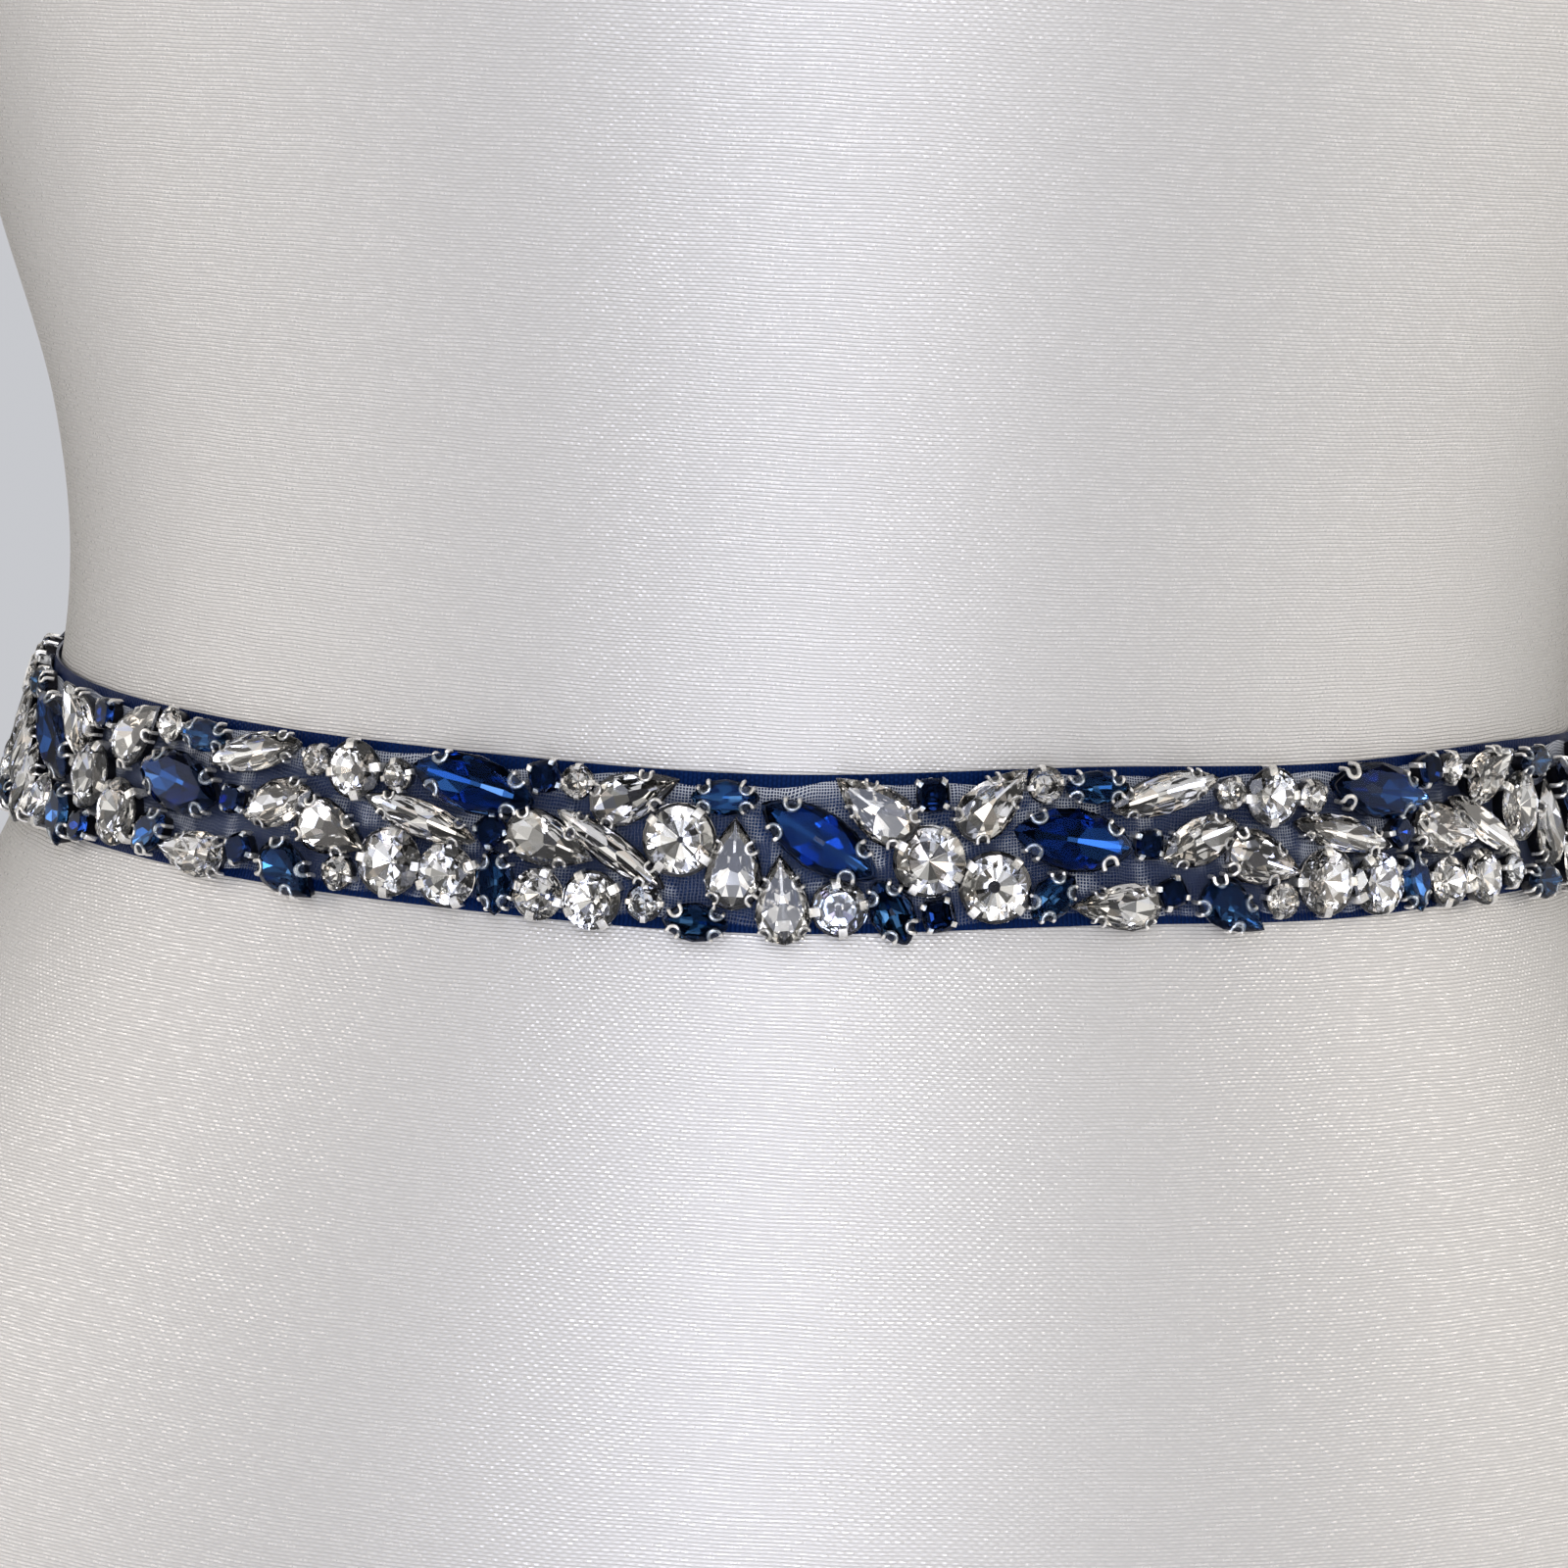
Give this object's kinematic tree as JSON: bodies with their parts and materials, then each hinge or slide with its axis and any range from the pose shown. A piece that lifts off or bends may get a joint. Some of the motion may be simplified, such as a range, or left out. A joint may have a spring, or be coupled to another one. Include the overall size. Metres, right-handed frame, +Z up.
{
  "type": "bridal sash on a limbless dress form",
  "caption": "Navy satin ribbon sash with a raised crystal trim on sheer organza, tied in a bow at the back, worn on the waist of a limbless dress form.",
  "frame": {"origin": "centre of the dress form's flat underside", "axes": "+Z up the form, -Y the way the front faces, +X to the right as seen from the front"},
  "size_m": [0.342, 0.243, 0.709],
  "materials": {
    "form_cover": "ivory stretch satin with fine cross ribs",
    "satin_ribbon": "navy double-faced satin with a ribbed selvedge",
    "sheer_organza": "sheer light grey organza with a fine open weave",
    "clear_crystal": "clear cut crystal with a foiled back",
    "navy_crystal": "navy cut crystal with a foiled back",
    "silver_setting": "bright silver plated prong settings"
  },
  "bodies": {
    "root": {"dress_form": "form_cover", "ribbon_band": "satin_ribbon", "crystal_trim_1": "clear_crystal", "crystal_trim_2": "clear_crystal", "crystal_trim_3": "clear_crystal", "crystal_trim_4": "clear_crystal", "bow_knot": "satin_ribbon", "bow_loop_left": "satin_ribbon", "bow_loop_right": "satin_ribbon", "bow_tail_left": "satin_ribbon", "bow_tail_right": "satin_ribbon"}
  },
  "joints": []
}
